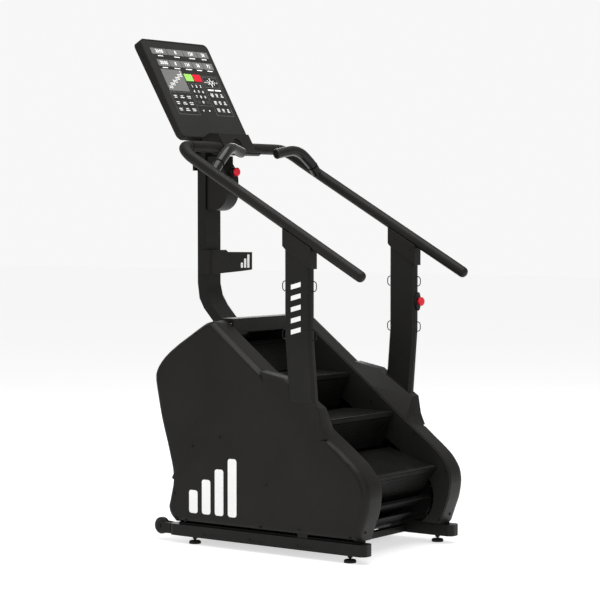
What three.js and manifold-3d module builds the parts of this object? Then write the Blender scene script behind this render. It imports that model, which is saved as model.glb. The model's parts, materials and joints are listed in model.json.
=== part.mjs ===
// Stair climber: a revolving staircase between two tall side covers, with handrails and a console.
// Millimetres. +Z is up, +Y points to the console, +X is the user's right.
// The origin is on the floor, below the middle of the machine.
import * as THREE from 'three';
import { mergeVertices } from 'three/addons/utils/BufferGeometryUtils.js';
import Module from 'manifold-3d';

const wasm = await Module();
wasm.setup();

// ---------------------------------------------------------------- driving dimensions
const GAP = 0.3;               // air between pieces that touch
const CENTRE_SHIFT = 4;        // puts the middle of the finished machine over the origin
const SHEET = 4;               // wall of the covers and formed plates

const WALL_IN = 241;           // inner side plates, distance of their inner face from the middle
const WALL_OUT = 244;
const COVER_IN = 249;          // side covers
const COVER_OUT = 352;
const COVER_LOW = 84;

const RAIL_IN = 276;           // base rails
const RAIL_OUT = 342;
const RAIL_LOW = 30;
const RAIL_HIGH = 76;
const RAIL_FRONT = -618;
const RAIL_REAR = 338;
const RAIL_WALL = 4;
const FOOT_X = 309;
const FOOT_Y = [-531, 227];

const PITCH = 262;             // chain length from step to step
const LOOP_RADIUS = 100;       // pitch radius of the chain sprockets
const STEP_COUNT = 8;
const SLOPE = THREE.MathUtils.degToRad(34.6);
const LOWER_SHAFT = { y: -430, z: 190 };
const FIRST_STEP_RUN = 166;    // from the lower tangent point up to the rear of the first tread
const LEAVING_ANGLE = THREE.MathUtils.degToRad(-30);
const TREAD_DEPTH = 230;
const NOSE_RISE = 147;         // from a nose to the axle of the step below
const FIRST_NOSE_RISE = 121;   // less where the lowest step tips down
const TREAD_HALF = 235;        // half the width of the steps
const TREAD_THICK = 20;
const RISER_LENGTH = 141;
const RISER_ANGLE = THREE.MathUtils.degToRad(68);
const CHAIN_IN = 256;
const CHAIN_OUT = 268;
const SHAFT_RADIUS = 15;

const TUBE = 22.5;             // handrail tube radius
const TUBE_SIDES = 20;
const HANDRAIL_X = 362;
const HANDRAIL_LOW = { y: -609, z: 1091 };
const HANDRAIL_SLOPE = Math.atan(0.5616);
const CROSSBAR = { y: 266, z: 1592, half: 286 };

const POST = { x: 362, y: -331.5, depth: 123, thick: 38, bend: 850, foot: 500, lean: 41 };
const POST_BELOW_RAIL = 48;    // from the tube's centreline straight down to the top of the post
const MAST = { rear: 421, front: 379, half: 51, top: 1600 };

const CONSOLE = { half: 220, length: 470, thick: 40, thinEnd: 28, tilt: THREE.MathUtils.degToRad(29.3) };
const CONSOLE_LOW = { y: 361, z: 1634 };
const STOP_RADIUS = 18;

// ---------------------------------------------------------------- finishes
const finish = (color, roughness, metalness = 0) =>
  new THREE.MeshStandardMaterial({ color, roughness, metalness });
const coverPlastic = finish(0x2a2827, 0.55);
const blackPaint = finish(0x262424, 0.45, 0.2);
const treadPaint = finish(0x343331, 0.7, 0.1);
const gripRubber = finish(0x1c1b1b, 0.85);
const bareSteel = finish(0x9a9a98, 0.35, 0.9);
const screenFace = finish(0x3a3a39, 0.3);
const redPlastic = finish(0xd81f3a, 0.35);
const wheelPlastic = finish(0x242424, 0.6);
const castMetal = finish(0x77787a, 0.5, 0.8);

// ---------------------------------------------------------------- solids
function toSolid(geometry) {
  const bare = geometry.clone();
  bare.deleteAttribute('normal');
  bare.deleteAttribute('uv');
  const welded = mergeVertices(bare, 1e-3);
  const vertProperties = new Float32Array(welded.attributes.position.array);
  const triVerts = new Uint32Array(welded.index.array);
  return new wasm.Manifold(new wasm.Mesh({ numProp: 3, vertProperties, triVerts }));
}

function toGeometry(solid) {
  const mesh = solid.getMesh();
  const geometry = new THREE.BufferGeometry();
  geometry.setAttribute('position', new THREE.BufferAttribute(mesh.vertProperties, 3));
  geometry.setIndex(new THREE.BufferAttribute(mesh.triVerts, 1));
  geometry.computeVertexNormals();
  return geometry;
}

function combine(method, base, others) {
  const start = toSolid(base);
  return toGeometry(others.reduce((solid, other) => solid[method](toSolid(other)), start));
}
const cut = (base, ...tools) => combine('subtract', base, tools);
const join = (base, ...others) => combine('add', base, others);
const common = (base, ...others) => combine('intersect', base, others);

function mirrored(geometry) {
  const copy = geometry.index ? geometry.clone() : mergeVertices(geometry);
  copy.scale(-1, 1, 1);
  const index = copy.index.array;
  for (let i = 0; i < index.length; i += 3) {
    [index[i], index[i + 1]] = [index[i + 1], index[i]];
  }
  copy.computeVertexNormals();
  return copy;
}

// ---------------------------------------------------------------- shapes
// A closed shape through a list of pairs, always drawn counterclockwise.
function outline(pairs) {
  const points = pairs.map(([a, b]) => new THREE.Vector2(a, b));
  return new THREE.Shape(THREE.ShapeUtils.isClockWise(points) ? points.reverse() : points);
}

function roundedRect(low, high, radius) {
  const [a0, b0] = low;
  const [a1, b1] = high;
  const shape = new THREE.Shape();
  shape.moveTo(a0 + radius, b0);
  shape.lineTo(a1 - radius, b0);
  shape.absarc(a1 - radius, b0 + radius, radius, -Math.PI / 2, 0);
  shape.lineTo(a1, b1 - radius);
  shape.absarc(a1 - radius, b1 - radius, radius, 0, Math.PI / 2);
  shape.lineTo(a0 + radius, b1);
  shape.absarc(a0 + radius, b1 - radius, radius, Math.PI / 2, Math.PI);
  shape.lineTo(a0, b0 + radius);
  shape.absarc(a0 + radius, b0 + radius, radius, Math.PI, Math.PI * 1.5);
  return shape;
}

const SIDE_VIEW = new THREE.Matrix4().makeBasis(
  new THREE.Vector3(0, 1, 0), new THREE.Vector3(0, 0, 1), new THREE.Vector3(1, 0, 0));
const FRONT_VIEW = new THREE.Matrix4().makeBasis(
  new THREE.Vector3(1, 0, 0), new THREE.Vector3(0, 0, 1), new THREE.Vector3(0, -1, 0));

// A shape drawn in (y, z), as thick as from xLow to xHigh.
function sideSlab(shape, xLow, xHigh, options = {}) {
  const settings = { bevelEnabled: false, curveSegments: 6, ...options };
  const geometry = new THREE.ExtrudeGeometry(shape, { ...settings, depth: xHigh - xLow });
  return geometry.applyMatrix4(SIDE_VIEW).translate(xLow, 0, 0);
}

// A shape drawn in (x, z), as thick as from yLow to yHigh.
function frontSlab(shape, yLow, yHigh, options = {}) {
  const settings = { bevelEnabled: false, curveSegments: 6, ...options };
  const geometry = new THREE.ExtrudeGeometry(shape, { ...settings, depth: yHigh - yLow });
  return geometry.applyMatrix4(FRONT_VIEW).translate(0, yHigh, 0);
}

// A shape drawn in (x, y), as thick as from zLow to zHigh.
function planSlab(shape, zLow, zHigh, options = {}) {
  const settings = { bevelEnabled: false, curveSegments: 6, ...options };
  const geometry = new THREE.ExtrudeGeometry(shape, { ...settings, depth: zHigh - zLow });
  return geometry.translate(0, 0, zLow);
}

function box(low, high) {
  const size = high.map((value, i) => value - low[i]);
  const middle = high.map((value, i) => (value + low[i]) / 2);
  return new THREE.BoxGeometry(...size).translate(...middle);
}

// A round bar along X.
function barX(radius, xLow, xHigh, y, z, sides = 24) {
  const bar = new THREE.CylinderGeometry(radius, radius, xHigh - xLow, sides);
  return bar.rotateZ(-Math.PI / 2).translate((xLow + xHigh) / 2, y, z);
}

// A solid through rings of points that all have the same count, closed at both ends.
function loft(rings) {
  const count = rings[0].length;
  const flat = rings.flat().map(([x, y, z]) => new THREE.Vector3(x, y, z));
  const positions = flat.flatMap((point) => [point.x, point.y, point.z]);
  const index = [];
  for (let r = 0; r + 1 < rings.length; r += 1) {
    for (let i = 0; i < count; i += 1) {
      const next = (i + 1) % count;
      const a = r * count + i;
      const b = r * count + next;
      index.push(a, b, b + count, a, b + count, a + count);
    }
  }
  const last = (rings.length - 1) * count;
  for (let i = 1; i + 1 < count; i += 1) {
    index.push(0, i + 1, i, last, last + i, last + i + 1);
  }
  const geometry = new THREE.BufferGeometry();
  geometry.setAttribute('position', new THREE.Float32BufferAttribute(positions, 3));
  geometry.setIndex(index);
  geometry.computeVertexNormals();
  return geometry;
}

// ---------------------------------------------------------------- the machine and its nodes
const machine = new THREE.Group();
machine.name = 'stair_climber';

function add(name, geometry, material) {
  const mesh = new THREE.Mesh(geometry, material);
  mesh.name = name;
  machine.add(mesh);
  return mesh;
}

function addPair(name, rightGeometry, material) {
  add(`${name}_right`, rightGeometry, material);
  add(`${name}_left`, mirrored(rightGeometry), material);
}

// ---------------------------------------------------------------- base
function baseRail() {
  const plan = roundedRect([RAIL_IN, RAIL_FRONT], [RAIL_OUT, RAIL_REAR], 24);
  const body = planSlab(plan, RAIL_LOW, RAIL_HIGH);
  const hollow = box([RAIL_IN + RAIL_WALL, RAIL_FRONT + 16, RAIL_LOW + RAIL_WALL],
    [RAIL_OUT - RAIL_WALL, RAIL_REAR + 1, RAIL_HIGH - RAIL_WALL]);
  const slots = [121, -111, -345].map((y) => {
    const slot = roundedRect([y - 39, 42], [y + 39, 54], 5.9);
    return sideSlab(slot, RAIL_OUT - 8, RAIL_OUT + 1, { curveSegments: 3 });
  });
  const studHoles = FOOT_Y.map((y) =>
    new THREE.CylinderGeometry(6.5, 6.5, 8, 12).rotateX(Math.PI / 2).translate(FOOT_X, y, RAIL_LOW + 2));
  return cut(body, hollow, ...slots, ...studHoles);
}

function crossTube(yLow, yHigh, zLow, zHigh) {
  const end = RAIL_IN - GAP;
  const body = box([-end, yLow, zLow], [end, yHigh, zHigh]);
  const bore = box([-end - 1, yLow + RAIL_WALL, zLow + RAIL_WALL],
    [end + 1, yHigh - RAIL_WALL, zHigh - RAIL_WALL]);
  return cut(body, bore);
}

function levellingFoot() {
  const profile = [[0, 0], [24, 0], [24, 8], [21, 12], [10, 14], [5, 15], [5, 19], [9.5, 19],
    [9.5, 27], [5, 27], [5, 62], [0, 62]];
  const points = profile.map(([r, z]) => new THREE.Vector2(r, z));
  return new THREE.LatheGeometry(points, 18).rotateX(Math.PI / 2);
}

function buildBase() {
  addPair('base_rail', baseRail(), blackPaint);
  add('base_cross_front', crossTube(-396, -366, 31, 58), blackPaint);
  add('base_cross_rear', crossTube(268, 308, 32, 74), blackPaint);
  const ends = [['front', FOOT_Y[0]], ['rear', FOOT_Y[1]]];
  for (const [end, y] of ends) {
    for (const [side, x] of [['right', FOOT_X], ['left', -FOOT_X]]) {
      const foot = add(`levelling_foot_${end}_${side}`, levellingFoot(), gripRubber);
      foot.position.set(x, y, 0);
    }
  }
}

// ---------------------------------------------------------------- transport wheels
const WHEEL = { x: 309, y: 398, z: 58, radius: 34, width: 24, bore: 8.4 };

function transportWheel() {
  const half = WHEEL.width / 2;
  const profile = [[WHEEL.bore, -half], [WHEEL.radius - 4, -half], [WHEEL.radius, -half + 4],
    [WHEEL.radius, half - 4], [WHEEL.radius - 4, half], [WHEEL.bore, half], [WHEEL.bore, -half]];
  const points = profile.map(([r, x]) => new THREE.Vector2(r, x));
  return new THREE.LatheGeometry(points, 32).rotateZ(-Math.PI / 2);
}

// Two ears and a welded axle stub that the wheel turns on.
function wheelFork() {
  const ear = outline([[RAIL_REAR + GAP, 32], [370, 32], [WHEEL.y, 38], [WHEEL.y + 14, 46],
    [WHEEL.y + 14, 70], [WHEEL.y, 78], [RAIL_REAR + GAP, 74]]);
  const earIn = sideSlab(ear, WHEEL.x - 20, WHEEL.x - 14);
  const earOut = sideSlab(ear, WHEEL.x + 14, WHEEL.x + 20);
  const web = box([WHEEL.x - 20, RAIL_REAR + GAP, 32], [WHEEL.x + 20, RAIL_REAR + 8, 74]);
  const axle = barX(8, WHEEL.x - 24, WHEEL.x + 24, WHEEL.y, WHEEL.z, 20);
  return join(web, earIn, earOut, axle);
}

function buildWheels() {
  for (const [side, sign] of [['right', 1], ['left', -1]]) {
    const wheel = add(`transport_wheel_${side}`, transportWheel(), wheelPlastic);
    wheel.position.set(sign * WHEEL.x, WHEEL.y, WHEEL.z);
  }
  addPair('wheel_fork', wheelFork(), blackPaint);
}

// ---------------------------------------------------------------- chain loop
// The chain runs round a lower and an upper sprocket. A distance s runs down the front, from the
// rear of the first tread towards the lower sprocket.
const along = { y: Math.cos(SLOPE), z: Math.sin(SLOPE) };
const outward = { y: -Math.sin(SLOPE), z: Math.cos(SLOPE) };
const STRAIGHT = (STEP_COUNT * PITCH - 2 * Math.PI * LOOP_RADIUS) / 2;
const UPPER_SHAFT = {
  y: LOWER_SHAFT.y + along.y * STRAIGHT,
  z: LOWER_SHAFT.z + along.z * STRAIGHT,
};

function around(shaft, angle, radius = LOOP_RADIUS) {
  return {
    y: shaft.y + radius * (outward.y * Math.cos(angle) - along.y * Math.sin(angle)),
    z: shaft.z + radius * (outward.z * Math.cos(angle) - along.z * Math.sin(angle)),
  };
}

const shifted = (point, direction, distance) => ({
  y: point.y + direction.y * distance,
  z: point.z + direction.z * distance,
});

// Where the chain is at a run measured up the front from the lower tangent point.
function loopPoint(run) {
  const total = STEP_COUNT * PITCH;
  const arc = Math.PI * LOOP_RADIUS;
  let rest = ((run % total) + total) % total;
  if (rest < STRAIGHT) {
    return shifted(around(LOWER_SHAFT, 0), along, rest);
  }
  rest -= STRAIGHT;
  if (rest < arc) {
    return around(UPPER_SHAFT, -rest / LOOP_RADIUS);
  }
  rest -= arc;
  if (rest < STRAIGHT) {
    return shifted(around(UPPER_SHAFT, Math.PI), along, -rest);
  }
  rest -= STRAIGHT;
  return around(LOWER_SHAFT, Math.PI - rest / LOOP_RADIUS);
}

const axleOf = (step) => loopPoint(FIRST_STEP_RUN + (step - 1) * PITCH);
const riseOf = (step) => (step === 1 ? FIRST_NOSE_RISE : NOSE_RISE);

// The nose of a working step stands a tread's depth from its own axle and a fixed distance
// from the axle below.
function noseOf(step) {
  const rear = axleOf(step);
  const low = axleOf(step - 1);
  const chord = Math.hypot(low.y - rear.y, low.z - rear.z);
  const cosine = (TREAD_DEPTH ** 2 + chord ** 2 - riseOf(step) ** 2) / (2 * TREAD_DEPTH * chord);
  const heading = Math.atan2(low.z - rear.z, low.y - rear.y) - Math.acos(cosine);
  return {
    y: rear.y + TREAD_DEPTH * Math.cos(heading),
    z: rear.z + TREAD_DEPTH * Math.sin(heading),
  };
}

// A slab along the line from one point to the other, drawn with y from `from` and z outward.
function placedSlab(shape, from, to, half) {
  const slab = sideSlab(shape, -half, half);
  const angle = Math.atan2(to.z - from.z, to.y - from.y);
  return slab.rotateX(angle).translate(0, from.y, from.z);
}

// Tread: a hollow-backed plate with a rounded nose and a turned-down lip.
function treadShape(length, start) {
  const top = -10;
  const under = top + TREAD_THICK;
  const shape = new THREE.Shape();
  shape.moveTo(start, top);
  shape.lineTo(length - 6, top);
  shape.quadraticCurveTo(length, top, length, top + 6);
  shape.lineTo(length, under - 2);
  shape.lineTo(length - 2, under);
  shape.lineTo(length - 26, under);
  shape.lineTo(length - 26, top + SHEET);
  shape.lineTo(start + 12, top + SHEET);
  shape.lineTo(start + 12, under - 2);
  shape.lineTo(start, under - 2);
  return shape;
}

// A riser hangs from the nose of its own tread, at a fixed angle to it, with a hem along its foot.
function riserFoot(step) {
  const nose = noseOf(step);
  const rear = axleOf(step);
  const heading = Math.atan2(rear.z - nose.z, rear.y - nose.y) - RISER_ANGLE;
  return { y: nose.y + RISER_LENGTH * Math.cos(heading), z: nose.z + RISER_LENGTH * Math.sin(heading) };
}

function workingRiser(step) {
  const start = 12.6;
  const plate = outline([[start, -2], [start, 2], [RISER_LENGTH - 4, 2], [RISER_LENGTH - 4, 8],
    [RISER_LENGTH, 8], [RISER_LENGTH, -2]]);
  return placedSlab(plate, noseOf(step), riserFoot(step), TREAD_HALF - 2);
}

function stepAxle(centre) {
  return barX(6, -CHAIN_IN + GAP, CHAIN_IN - GAP, centre.y, centre.z, 10);
}

// Drawn from the rear to the nose, so the shape's negative side is the walking side.
function workingTread(step) {
  const rear = axleOf(step);
  const plate = placedSlab(treadShape(TREAD_DEPTH, -6), rear, noseOf(step), TREAD_HALF);
  return join(plate, stepAxle(rear));
}

// On the way back a step is folded flat: the riser lies under the tread.
function foldedStep(step, heading, start) {
  const rear = axleOf(step);
  const tip = { y: rear.y + Math.cos(heading), z: rear.z + Math.sin(heading) };
  const riserEnd = TREAD_DEPTH - RISER_LENGTH;
  const shape = outline([[start, 4], [start, 8], [TREAD_DEPTH, 8], [TREAD_DEPTH, -26], [riserEnd, -26],
    [riserEnd, -22], [TREAD_DEPTH - SHEET, -22], [TREAD_DEPTH - SHEET, 4]]);
  return placedSlab(shape, rear, tip, TREAD_HALF);
}

function buildSteps() {
  for (let step = 1; step <= 4; step += 1) {
    add(`tread_${step}`, workingTread(step), treadPaint);
    add(`riser_${step}`, workingRiser(step), treadPaint);
  }
  for (let step = 5; step <= STEP_COUNT; step += 1) {
    const heading = step < STEP_COUNT ? SLOPE : LEAVING_ANGLE;
    add(`return_step_${step}`, join(foldedStep(step, heading, -8), stepAxle(axleOf(step))), treadPaint);
  }
}

// ---------------------------------------------------------------- drive
const CHAIN_HALF = 5;

function stadium(radius, segments = 20) {
  const points = [];
  for (let i = 0; i <= segments; i += 1) {
    const point = around(UPPER_SHAFT, -(i / segments) * Math.PI, radius);
    points.push([point.y, point.z]);
  }
  for (let i = 0; i <= segments; i += 1) {
    const point = around(LOWER_SHAFT, Math.PI - (i / segments) * Math.PI, radius);
    points.push([point.y, point.z]);
  }
  return points;
}

function stepChain() {
  const shape = outline(stadium(LOOP_RADIUS + CHAIN_HALF));
  shape.holes.push(outline(stadium(LOOP_RADIUS - CHAIN_HALF)));
  return sideSlab(shape, CHAIN_IN, CHAIN_OUT);
}

function sprocketShaft(shaft, reach) {
  const rim = LOOP_RADIUS - CHAIN_HALF - 1;
  const rod = barX(SHAFT_RADIUS, -reach.left, reach.right, shaft.y, shaft.z, 24);
  const pieces = [rod];
  for (const sign of [1, -1]) {
    const inner = sign > 0 ? CHAIN_IN + 2 : -CHAIN_OUT + 2;
    pieces.push(barX(rim, inner, inner + 8, shaft.y, shaft.z, 40));
    const hub = sign > 0 ? CHAIN_IN - 16 : -CHAIN_IN - 3;
    pieces.push(barX(30, hub, hub + 19, shaft.y, shaft.z, 24));
  }
  return join(...pieces);
}

const DRIVE = { pulley: 95, small: 24, belt: 4, xLow: 300, xHigh: 322 };
const ALTERNATOR = { y: 236, z: 236, radius: 72, xLow: 90, xHigh: 230 };
const SPINDLE_HOLE = 14;

function pulleyX(radius, bore, y, z) {
  const half = (DRIVE.xHigh - DRIVE.xLow) / 2;
  const profile = [[bore, -half], [radius, -half], [radius, half], [bore, half], [bore, -half]];
  const points = profile.map(([r, x]) => new THREE.Vector2(r, x));
  const wheel = new THREE.LatheGeometry(points, 36).rotateZ(-Math.PI / 2);
  return wheel.translate((DRIVE.xLow + DRIVE.xHigh) / 2, y, z);
}

// A belt round two pulleys: the outside follows their common tangents.
function beltLoop(grow) {
  const big = DRIVE.pulley + grow;
  const small = DRIVE.small + grow;
  const span = { y: ALTERNATOR.y - UPPER_SHAFT.y, z: ALTERNATOR.z - UPPER_SHAFT.z };
  const length = Math.hypot(span.y, span.z);
  const heading = Math.atan2(span.z, span.y);
  const open = Math.acos((big - small) / length);
  const points = [];
  const arcTo = (centre, radius, from, to) => {
    for (let i = 0; i <= 18; i += 1) {
      const angle = from + ((to - from) * i) / 18;
      points.push([centre.y + radius * Math.cos(angle), centre.z + radius * Math.sin(angle)]);
    }
  };
  arcTo(UPPER_SHAFT, big, heading + open, heading + 2 * Math.PI - open);
  arcTo(ALTERNATOR, small, heading - open, heading + open);
  return outline(points);
}

function driveBelt() {
  const shape = beltLoop(DRIVE.belt + 1);
  shape.holes.push(beltLoop(1));
  return sideSlab(shape, DRIVE.xLow + 3, DRIVE.xHigh - 3);
}

function alternatorBody() {
  const { y, z, radius, xLow, xHigh } = ALTERNATOR;
  const drum = barX(radius, xLow, xHigh, y, z, 36);
  const nose = barX(30, xHigh - 1, xHigh + 8, y, z, 24);
  const foot = box([xLow + 20, y - 44, 74 + GAP], [xHigh - 20, y + 44, z - radius + 20]);
  const bore = barX(8.4, xLow + 40, xHigh + 20, y, z, 16);
  return cut(join(drum, nose, foot), bore);
}

function alternatorPulley() {
  const { y, z, xLow } = ALTERNATOR;
  const spindle = barX(8, xLow + 44, DRIVE.xHigh + 4, y, z, 16);
  return join(barX(DRIVE.small, DRIVE.xLow, DRIVE.xHigh, y, z, 28), spindle);
}

// The frame side: the plate that carries both shafts, with the upright below the handrail post.
function frameSide() {
  const bored = ({ y, z }, radius) => new THREE.Path().absarc(y, z, radius, 0, Math.PI * 2);
  const foot = RAIL_HIGH + GAP;
  const plate = outline([[-500, foot], [-180, foot], [60, 300], [170, foot], [270, foot], [280, 300],
    [260, 640], [200, 690], [120, 690], [-300, 400], [-500, 260]]);
  plate.holes.push(bored(LOWER_SHAFT, SHAFT_RADIUS + 0.6), bored(UPPER_SHAFT, SHAFT_RADIUS + 0.6),
    bored(ALTERNATOR, SPINDLE_HOLE));
  const sheet = sideSlab(plate, 277, 282, { curveSegments: 10 });
  const upright = box([281, -352, foot], [338, -304, POST.foot - GAP]);
  const bore = box([282 + SHEET, -348, RAIL_HIGH - 1], [338 - SHEET, -308, POST.foot - 2 * SHEET]);
  return cut(join(sheet, upright), bore);
}

function buildDrive() {
  addPair('step_chain', stepChain(), bareSteel);
  add('upper_shaft', sprocketShaft(UPPER_SHAFT, { left: 296, right: DRIVE.xHigh + 8 }), bareSteel);
  add('lower_shaft', sprocketShaft(LOWER_SHAFT, { left: 296, right: 296 }), bareSteel);
  add('drive_pulley', pulleyX(DRIVE.pulley, SHAFT_RADIUS + GAP, UPPER_SHAFT.y, UPPER_SHAFT.z), castMetal);
  add('drive_belt', driveBelt(), gripRubber);
  add('alternator', alternatorBody(), castMetal);
  add('alternator_pulley', alternatorPulley(), castMetal);
  addPair('frame_side', frameSide(), blackPaint);
}

// ---------------------------------------------------------------- covers
// Outline of the covers in (y, z): up the bulged front, along the rim, over the top, down the back.
const RIM_LOW = { y: -430, z: 480 };
const RIM_HIGH = { y: 96, z: 884 };
const RIM_SLOPE = (RIM_HIGH.z - RIM_LOW.z) / (RIM_HIGH.y - RIM_LOW.y);
const rimHeight = (y) => RIM_LOW.z + (y - RIM_LOW.y) * RIM_SLOPE;

const BACK_RUN = [[168, 880], [336, 771], [394, 712], [410, 673], [399, 593], [378, 494], [339, 362],
  [319, 262], [335, 180], [343, 143], [330, 108], [305, COVER_LOW]];

// A smooth run of points through the ones given.
function smoothRun(pairs) {
  const through = pairs.map(([a, b]) => new THREE.Vector3(a, b, 0));
  const curve = new THREE.CatmullRomCurve3(through, false, 'centripetal');
  return curve.getPoints(3 * (pairs.length - 1)).map((point) => [point.x, point.y]);
}

const COVER_BACK = smoothRun(BACK_RUN);

function coverShape(inset = 0) {
  const front = smoothRun([[-583, COVER_LOW], [-604, 140], [-622, 188], [-631, 240], [-632, 258],
    [-624, 303], [-590, 355], [-540, 399], [RIM_LOW.y, RIM_LOW.z]]);
  const back = [[RIM_HIGH.y, RIM_HIGH.z], [108, 893], [124, 897], [146, 892], ...COVER_BACK];
  return insetOutline([...front, ...back], inset);
}

// Moves every side of a closed outline inward by the same distance.
function insetOutline(points, distance) {
  if (distance === 0) {
    return points;
  }
  const turn = Math.sign(signedArea(points));
  return points.map((point, i) => {
    const before = points[(i + points.length - 1) % points.length];
    const after = points[(i + 1) % points.length];
    const first = unit(point[0] - before[0], point[1] - before[1]);
    const second = unit(after[0] - point[0], after[1] - point[1]);
    const normal = unit(-(first[1] + second[1]) * turn, (first[0] + second[0]) * turn);
    const share = Math.max(0.5, normal[0] * -first[1] * turn + normal[1] * first[0] * turn);
    return [point[0] + (normal[0] * distance) / share, point[1] + (normal[1] * distance) / share];
  });
}

function unit(a, b) {
  const length = Math.hypot(a, b);
  return [a / length, b / length];
}

function signedArea(points) {
  return points.reduce((sum, [a, b], i) => {
    const [c, d] = points[(i + 1) % points.length];
    return sum + (a * d - c * b) / 2;
  }, 0);
}

// The raised seat round the foot of the post.
const SEAT = [[-128, 712], [-245, 690], [-414, 582], [-426, 512], [-446, 466], [-380, 440], [-180, 600]];

function postSeat() {
  const lowered = SEAT.map(([y, z]) => [y, Math.min(z, rimHeight(y) - 1)]);
  const ring = (points, x) => points.map(([y, z]) => [x, y, z]);
  return loft([ring(lowered, COVER_IN + 1), ring(SEAT, 301), ring(SEAT, COVER_OUT - 5),
    ring(insetOutline(SEAT, 5), COVER_OUT)]);
}

// A block with the post's section, bigger by `grow` on every side.
function postBody(grow, zLow, zHigh) {
  const { x, y, depth, thick, bend, foot, lean } = POST;
  const corner = 10;
  const section = (level, inward) => {
    const w = thick / 2 + grow;
    const d = depth / 2 + grow;
    const ring = [[w, -d + corner], [w, d - corner], [w - corner, d], [-w + corner, d],
      [-w, d - corner], [-w, -d + corner], [-w + corner, -d], [w - corner, -d]];
    return ring.map(([a, b]) => [x - inward + a, y + b, level]);
  };
  const inwardAt = (level) => Math.max(0, ((bend - level) / (bend - foot)) * lean);
  const levels = [zLow, bend, zHigh].filter((level, i) => i !== 1 || (zLow < bend && bend < zHigh));
  return loft(levels.map((level) => section(level, inwardAt(level))));
}

const EDGE = { across: 37, up: 27 };   // rounding along the rim of the cover

function sideCover() {
  const rounding = {
    bevelEnabled: true,
    bevelThickness: EDGE.across,
    bevelSize: EDGE.up,
    bevelOffset: -EDGE.up,
  };
  const full = sideSlab(outline(coverShape()), COVER_IN - 60, COVER_OUT - EDGE.across,
    { ...rounding, bevelSegments: 3 });
  const slice = box([COVER_IN, -700, 0], [COVER_OUT + 10, 500, 1000]);
  const shell = join(common(full, slice), postSeat());
  const hollow = sideSlab(outline(coverShape(SHEET + 1)), COVER_IN - 70, COVER_OUT - SHEET - EDGE.across,
    { ...rounding, bevelSegments: 2 });
  const openBottom = box([COVER_IN - 1, -566, COVER_LOW - 5], [COVER_OUT - SHEET - 6, 292, COVER_LOW + 26]);
  return cut(shell, hollow, openBottom, postBody(0.5, POST.foot - 60, 800));
}

// Inner wall: a plate in front of the chain, with a window along the path of the steps.
function sidePlate() {
  const plate = sideSlab(outline(coverShape(1.5)), WALL_IN, WALL_OUT);
  const window = sideSlab(outline(stadium(LOOP_RADIUS + 24, 14)), WALL_IN - 1, WALL_OUT + 1);
  const spindleHole = barX(SPINDLE_HOLE, WALL_IN - 1, WALL_OUT + 1, ALTERNATOR.y, ALTERNATOR.z, 16);
  return cut(plate, window, spindleHole);
}

function rearCover() {
  const inner = COVER_BACK.map(([y, z]) => [y - SHEET - 1, z - 2]).reverse();
  const skin = sideSlab(outline([...COVER_BACK, ...inner]), -WALL_IN + GAP, WALL_IN - GAP);
  const mastHole = box([-MAST.half - 3, 228, 760], [MAST.half + 3, 284, 900]);
  return cut(skin, mastHole);
}

function topCover() {
  const hood = outline([[84, 905], [80, 903], [84, 848], [90, 846], [92, 893], [146, 888], [157, 882],
    [158, 889], [146, 905]]);
  return sideSlab(hood, -WALL_IN + GAP, WALL_IN - GAP);
}

function buildCovers() {
  addPair('side_cover', sideCover(), coverPlastic);
  addPair('side_plate', sidePlate(), blackPaint);
  add('rear_cover', rearCover(), coverPlastic);
  add('top_cover', topCover(), coverPlastic);
}

// ---------------------------------------------------------------- handrails and posts
const railHeight = (y) => HANDRAIL_LOW.z + (y - HANDRAIL_LOW.y) * Math.tan(HANDRAIL_SLOPE);

// One bent tube: up the slope from its domed lower end, then round the corner to the crossbar.
function handrail() {
  const bendFrom = CROSSBAR.y - 78;
  const heading = new THREE.Vector3(0, -Math.cos(HANDRAIL_SLOPE), -Math.sin(HANDRAIL_SLOPE));
  const start = new THREE.Vector3(HANDRAIL_X, HANDRAIL_LOW.y, railHeight(HANDRAIL_LOW.y));
  const turn = new THREE.Vector3(HANDRAIL_X, bendFrom, railHeight(bendFrom));
  const corner = new THREE.Vector3(HANDRAIL_X, CROSSBAR.y, CROSSBAR.z);
  const end = new THREE.Vector3(CROSSBAR.half + 8, CROSSBAR.y, CROSSBAR.z);
  const dome = [[23, 0.4], [20, 0.68], [15, 0.88], [8, 0.98]];
  const points = dome.map(([distance]) => start.clone().addScaledVector(heading, distance));
  points.push(start, turn);
  for (let i = 1; i <= 8; i += 1) {
    const near = turn.clone().lerp(corner, i / 8);
    const far = corner.clone().lerp(end, i / 8);
    points.push(near.lerp(far, i / 8));
  }
  points.push(end.clone().setX(CROSSBAR.half + GAP));
  return sweep(points, TUBE, TUBE_SIDES, dome.map(([, share]) => share));
}

// A round bar through a list of points, mitred at each of them. `shares` thins its first rings.
function sweep(points, radius, sides = TUBE_SIDES, shares = []) {
  const up = new THREE.Vector3(0, 0, 1);
  let side = null;
  const rings = points.map((point, i) => {
    const before = points[Math.max(i - 1, 0)];
    const after = points[Math.min(i + 1, points.length - 1)];
    const heading = after.clone().sub(before).normalize();
    const reference = side ? side.clone() : new THREE.Vector3().crossVectors(heading, up);
    reference.addScaledVector(heading, -reference.dot(heading)).normalize();
    side = reference;
    return roundSection(point, reference, heading, radius * (shares[i] ?? 1), sides);
  });
  return loft(rings);
}

function roundSection(point, side, heading, radius, sides) {
  const other = new THREE.Vector3().crossVectors(heading, side);
  return Array.from({ length: sides }, (_, k) => {
    const angle = (k / sides) * Math.PI * 2;
    const spot = point.clone()
      .addScaledVector(side, Math.cos(angle) * radius)
      .addScaledVector(other, Math.sin(angle) * radius);
    return [spot.x, spot.y, spot.z];
  });
}

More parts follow.
